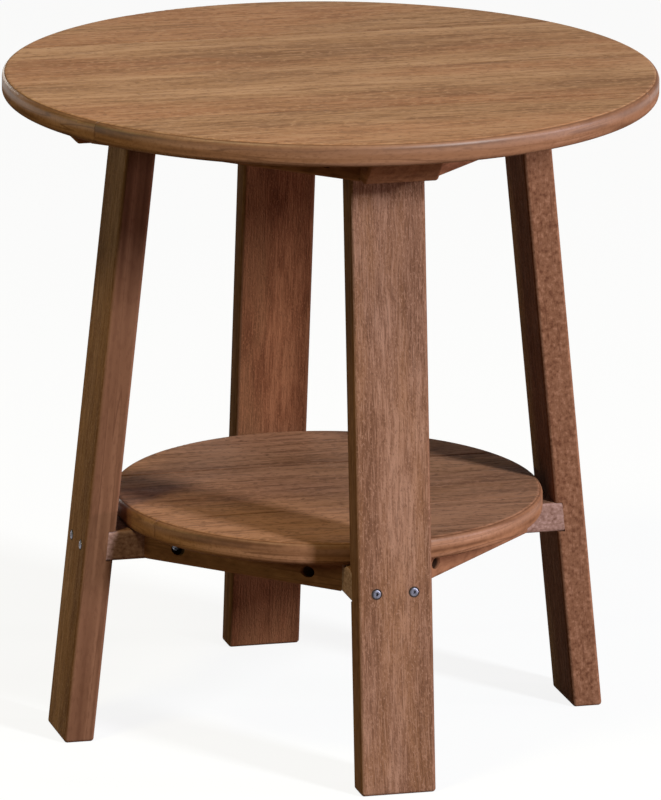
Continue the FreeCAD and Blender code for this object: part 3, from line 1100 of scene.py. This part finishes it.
@dataclass
class ScrewSet:
    """Identical star-drive screws that stand for a node of plain ones, each where the plain one is."""

    node: str
    form: HeadForm
    size: ScrewSize
    finish: SteelFinish
    segments: int = 36
    tip_share: float = 0.1
    recess_share: float = 0.5
    recess_depth: float = 1.9 * MM
    lobes: int = 6
    lobe_share: float = 0.14
    lip_share: float = 0.94
    lip_drop: float = 0.15 * MM
    floor_share: float = 0.92
    seat_shade_share: float = 0.75
    weld: float = 0.001 * MM
    sort_digits: int = 5
    sharp_edge: float = math.radians(32)

    def rings(self, length: float) -> list[tuple[float, float]]:
        """Radius and height of each ring from the top of the head to the point.

        Args:
            length: The screw's whole length.

        Returns:
            Radius and height pairs, the first at the flat round the recess.
        """
        shank, height = self.size.shank_radius, self.size.head_height
        head = [(share * self.size.head_radius, -drop * height) for share, drop in self.form.value]
        return head + [(shank, -height), (shank, shank - length), (self.tip_share * shank, -length)]

    def places(self) -> list[ScrewPlace]:
        """Find the plain screws in the node.

        Returns:
            The place of each.
        """
        shape = bmesh.new()
        shape.from_mesh(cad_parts[self.node].data)
        bmesh.ops.remove_doubles(shape, verts=shape.verts, dist=self.weld)
        found = []
        waiting = set(shape.verts)
        while waiting:
            island = [waiting.pop()]
            for vertex in island:
                for edge in vertex.link_edges:
                    other = edge.other_vert(vertex)
                    if other in waiting:
                        waiting.remove(other)
                        island.append(other)
            found.append(self.place_of(np.array([vertex.co for vertex in island])))
        shape.free()
        return sorted(found, key=lambda place: tuple(round(value, self.sort_digits) for value in place.point))

    @staticmethod
    def place_of(points: np.ndarray) -> ScrewPlace:
        """Work out a plain screw's place from its vertices.

        Args:
            points: The vertices, one row each.

        Returns:
            The screw's place.
        """
        middle = points.mean(axis=0)
        arms = points - middle
        axis = np.linalg.eigh(arms.T @ arms)[1][:, -1]
        heights = arms @ axis
        radii = np.linalg.norm(arms - np.outer(heights, axis), axis=1)
        if heights[radii.argmax()] < 0:
            axis, heights = -axis, -heights
        point = middle + axis * heights.max()
        return ScrewPlace(Vector(point), Vector(axis), float(heights.max() - heights.min()))

    @staticmethod
    def grow(shape: bmesh.types.BMesh, loop: list, factor: float, rise: float) -> list:
        """Extrude a ring of edges to a new ring.

        Args:
            shape: The mesh.
            loop: The ring's edges.
            factor: Scale of the new ring about the screw's axis.
            rise: Rise of the new ring.

        Returns:
            The new ring's edges.
        """
        made = bmesh.ops.extrude_edge_only(shape, edges=loop)["geom"]
        verts = [item for item in made if isinstance(item, bmesh.types.BMVert)]
        bmesh.ops.scale(shape, vec=(factor, factor, 1), verts=verts)
        bmesh.ops.translate(shape, vec=(0, 0, rise), verts=verts)
        return [item for item in made if isinstance(item, bmesh.types.BMEdge) and item.is_boundary]

    def blank(self, length: float) -> bmesh.types.BMesh:
        """Model one screw along Z, the top of the plain screw's head at the origin.

        Args:
            length: The screw's whole length.

        Returns:
            The screw's mesh.
        """
        shape = bmesh.new()
        rings = self.rings(length)
        radius, height = rings[0]
        level = Matrix.Translation((0, 0, height))
        bmesh.ops.create_circle(shape, cap_ends=False, segments=self.segments, radius=radius, matrix=level)
        crown = list(shape.edges)
        loop = crown
        for wider, lower in rings[1:]:
            loop = self.grow(shape, loop, wider / radius, lower - height)
            radius, height = wider, lower
        bmesh.ops.contextual_create(shape, geom=loop)
        mouth = self.grow(shape, crown, self.recess_share * self.size.head_radius / rings[0][0], 0.0)
        for vertex in {vertex for edge in mouth for vertex in edge.verts}:
            angle = math.atan2(vertex.co.y, vertex.co.x)
            vertex.co.xy *= 1 - self.lobe_share + self.lobe_share * math.cos(self.lobes * angle)
        lip = self.grow(shape, mouth, self.lip_share, -self.lip_drop)
        floor = self.grow(shape, lip, self.floor_share, self.lip_drop - self.recess_depth)
        bmesh.ops.contextual_create(shape, geom=floor)
        bmesh.ops.recalc_face_normals(shape, faces=shape.faces)
        if self.form is HeadForm.SUNK:
            self.mark_seat_shade(shape)
        return shape

    def mark_seat_shade(self, shape: bmesh.types.BMesh) -> None:
        """Mark the ring round a sunk head, which the finish paints dark as shade.

        Args:
            shape: The screw's mesh.
        """
        seat_shade_mask = shape.verts.layers.float.new(SEAT_SHADE)
        for vertex in shape.verts:
            vertex[seat_shade_mask] = float(vertex.co.xy.length > self.seat_shade_share * self.size.head_radius)

    def build(self, effects: Effects) -> bpy.types.Object:
        """Model and dress the screws in one piece.

        Args:
            effects: The shared effects.

        Returns:
            The piece.
        """
        whole = bmesh.new()
        for place in self.places():
            single = self.blank(place.length)
            turn = place.outward.to_track_quat("Z", "Y").to_matrix().to_4x4()
            bmesh.ops.transform(single, matrix=Matrix.Translation(place.point) @ turn, verts=single.verts)
            carrier = bpy.data.meshes.new("one_screw")
            single.to_mesh(carrier)
            single.free()
            whole.from_mesh(carrier)
            bpy.data.meshes.remove(carrier)
        for face in whole.faces:
            face.smooth = True
        mesh = bpy.data.meshes.new(f"{self.node}_star_drive")
        whole.to_mesh(mesh)
        whole.free()
        mesh.set_sharp_from_angle(angle=self.sharp_edge)
        mesh.materials.append(self.finish.material(f"steel_{self.node}", effects))
        piece = bpy.data.objects.new(f"{self.node}_star_drive", mesh)
        bpy.context.scene.collection.objects.link(piece)
        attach(piece, BODY)
        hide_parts(self.node)
        log.info("%s stands for %s", piece.name, self.node)
        return piece


@dataclass(frozen=True)
class Lamp:
    """A soft box: where it hangs, in degrees about the table, its light and its size in metres."""

    azimuth: float
    elevation: float
    level: float
    colour: tuple[float, float, float]
    width: float
    height: float
    distance: float = 9.0

    def source(self) -> Vector:
        """Work out the way from the table to the lamp.

        Returns:
            A direction of length 1.
        """
        turn = math.radians(self.azimuth)
        rise = math.radians(self.elevation)
        return Vector((math.sin(turn) * math.cos(rise), -math.cos(turn) * math.cos(rise), math.sin(rise)))


@dataclass
class Studio:
    """Pale floor, dim warm sky and five soft boxes: front right, overhead, left, low right and behind."""

    floor_half: float = 40.0
    floor_colour: Colour = (0.97, 0.97, 0.97, 1.0)
    bounce_colour: Colour = (0.20, 0.14, 0.09, 1.0)
    glow_share: float = 0.88
    sky_colour: Colour = (1.0, 0.74, 0.54, 1.0)
    sky_strength: float = 0.06
    front: Lamp = Lamp(34.0, 26.0, level=1.36, colour=(0.93, 1.0, 1.06), width=1.0, height=2.0)
    overhead: Lamp = Lamp(
        -55.0, 57.0, level=0.38, colour=(1.2, 1.08, 0.58), width=0.45, height=0.45, distance=2.6
    )
    left: Lamp = Lamp(-92.0, 12.0, level=0.15, colour=(0.92, 1.1, 0.52), width=0.8, height=1.4)
    right: Lamp = Lamp(70.0, 4.0, level=0.55, colour=(1.06, 0.92, 1.04), width=1.0, height=0.8)
    back: Lamp = Lamp(178.0, 7.0, level=0.34, colour=(1.0, 0.95, 0.88), width=6.0, height=1.8)
    aim: Vector = Vector((0.0, 0.0, 0.3))

    def build_floor(self) -> None:
        """Lay the floor: pale to the eye and to gloss, duller to the light that it throws back."""
        shape = bmesh.new()
        bmesh.ops.create_grid(shape, x_segments=1, y_segments=1, size=self.floor_half)
        mesh = bpy.data.meshes.new("studio_floor")
        shape.to_mesh(mesh)
        shape.free()
        material = bpy.data.materials.new("studio_floor")
        material.use_nodes = True
        graph = Graph(material.node_tree)
        graph.tree.nodes.clear()
        rays = graph.node("ShaderNodeLightPath").outputs
        seen = graph.maths("MAXIMUM", rays["Is Camera Ray"], rays["Is Glossy Ray"])
        seen = graph.maths("MAXIMUM", seen, rays["Is Transmission Ray"])
        diffuse = graph.node("ShaderNodeBsdfDiffuse")
        graph.feed(diffuse.inputs["Color"], graph.mix(seen, self.bounce_colour, self.floor_colour))
        glow = graph.node("ShaderNodeEmission")
        glow.inputs["Strength"].default_value = 1.0
        blend = graph.node("ShaderNodeMixShader")
        graph.feed(blend.inputs["Fac"], graph.maths("MULTIPLY", seen, self.glow_share))
        graph.feed(blend.inputs[1], diffuse.outputs["BSDF"])
        graph.feed(blend.inputs[2], glow.outputs["Emission"])
        output = graph.node("ShaderNodeOutputMaterial")
        graph.feed(output.inputs["Surface"], blend.outputs["Shader"])
        mesh.materials.append(material)
        floor = bpy.data.objects.new("studio_floor", mesh)
        bpy.context.scene.collection.objects.link(floor)

    def build_sky(self) -> None:
        """Hang a plain, even sky."""
        world = bpy.data.worlds.new("studio_sky")
        world.use_nodes = True
        background = world.node_tree.nodes["Background"]
        background.inputs["Color"].default_value = self.sky_colour
        background.inputs["Strength"].default_value = self.sky_strength
        bpy.context.scene.world = world

    def hang(self, name: str, lamp: Lamp) -> None:
        """Hang a soft box so that it faces the table, its level a share of plain white light.

        Args:
            name: The lamp's name.
            lamp: Where it hangs, its light and its size.
        """
        data = bpy.data.lights.new(name, "AREA")
        data.shape = "RECTANGLE"
        data.size = lamp.width
        data.size_y = lamp.height
        data.energy = lamp.level * (math.pi * lamp.distance) ** 2
        data.color = lamp.colour
        item = bpy.data.objects.new(name, data)
        item.location = self.aim + lamp.source() * lamp.distance
        item.rotation_euler = lamp.source().to_track_quat("Z", "Y").to_euler()
        bpy.context.scene.collection.objects.link(item)

    def build(self) -> None:
        """Build the floor, the sky and the lamps."""
        self.build_floor()
        self.build_sky()
        self.hang("front_soft_box", self.front)
        self.hang("overhead_soft_box", self.overhead)
        self.hang("left_soft_box", self.left)
        self.hang("right_soft_box", self.right)
        self.hang("back_soft_box", self.back)


@dataclass(frozen=True)
class PhotoCamera:
    """Camera at the photograph's place: angles in degrees, lengths in metres, the sensor in millimetres."""

    azimuth: float = -14.9757
    distance: float = 6.959
    height: float = 2.12581
    pitch: float = 14.8927
    pan: float = -0.01544
    roll: float = 0.42438
    focal_pixels: float = 8581.28
    image_height: float = 800.0
    sensor: float = 36.0
    sight: float = 100.0

    def build(self) -> None:
        """Create the camera and make it the scene's."""
        turn = math.radians(self.azimuth)
        heading = math.radians(self.azimuth + self.pan)
        dip = math.radians(self.pitch)
        tilt = math.radians(self.roll)
        reach = math.cos(dip)
        ahead = Vector((-math.sin(heading) * reach, math.cos(heading) * reach, -math.sin(dip)))
        level = Vector((math.cos(heading), math.sin(heading), 0))
        upright = level.cross(ahead)
        right = level * math.cos(tilt) + upright * math.sin(tilt)
        above = upright * math.cos(tilt) - level * math.sin(tilt)
        data = bpy.data.cameras.new("photo_camera")
        data.sensor_fit = "VERTICAL"
        data.sensor_height = self.sensor
        data.sensor_width = self.sensor
        data.lens = self.focal_pixels * self.sensor / self.image_height
        data.clip_end = self.sight
        camera = bpy.data.objects.new("photo_camera", data)
        place = Vector((math.sin(turn) * self.distance, -math.cos(turn) * self.distance, self.height))
        axes = Matrix((right, above, -ahead)).transposed().to_4x4()
        camera.matrix_world = Matrix.Translation(place) @ axes
        bpy.context.scene.collection.objects.link(camera)
        bpy.context.scene.camera = camera


def main() -> None:
    """Dress the table, piece by piece, then light it and place the camera."""
    logging.basicConfig(level=logging.INFO, format="%(message)s")
    effects = Effects.build()
    lumber = Lumber()
    RoundPanel("top", 4, TOP_FINISH, first_seed=3).dress(effects)
    RoundPanel("shelf", 3, SHELF_FINISH, first_seed=11).dress(effects)
    leg_finishes = {
        Side.RIGHT: RIGHT_LEG_FINISH,
        Side.BACK: BACK_LEG_FINISH,
        Side.LEFT: LEFT_LEG_FINISH,
        Side.FRONT: LEG_FINISH,
    }
    Legs(lumber, leg_finishes, first_seed=21).dress(effects)
    Cross("upper", lumber, BRACE_FINISH, BRACE_FINISH, first_seed=31).dress(effects)
    Cross("lower", lumber, BEAM_FINISH, BRACE_FINISH, first_seed=41).dress(effects)
    ScrewSet("leg_side_screws", HeadForm.SUNK, LEG_SCREW, SEAT_SHADED_STEEL, recess_share=0.36).build(effects)
    ScrewSet("leg_top_screws", HeadForm.FLUSH, LEG_SCREW, DULL_STEEL).build(effects)
    ScrewSet("upper_brace_screws", HeadForm.DOMED, BOARD_SCREW, BRIGHT_STEEL).build(effects)
    ScrewSet("lower_brace_screws", HeadForm.DOMED, BOARD_SCREW, BRIGHT_STEEL).build(effects)
    ScrewSet("top_screws", HeadForm.FLUSH, BOARD_SCREW, DULL_STEEL).build(effects)
    ScrewSet("shelf_screws", HeadForm.FLUSH, BOARD_SCREW, DULL_STEEL).build(effects)
    Studio().build()
    PhotoCamera().build()
    bpy.context.scene.view_settings.view_transform = "Standard"


if __name__ == "__main__":
    main()
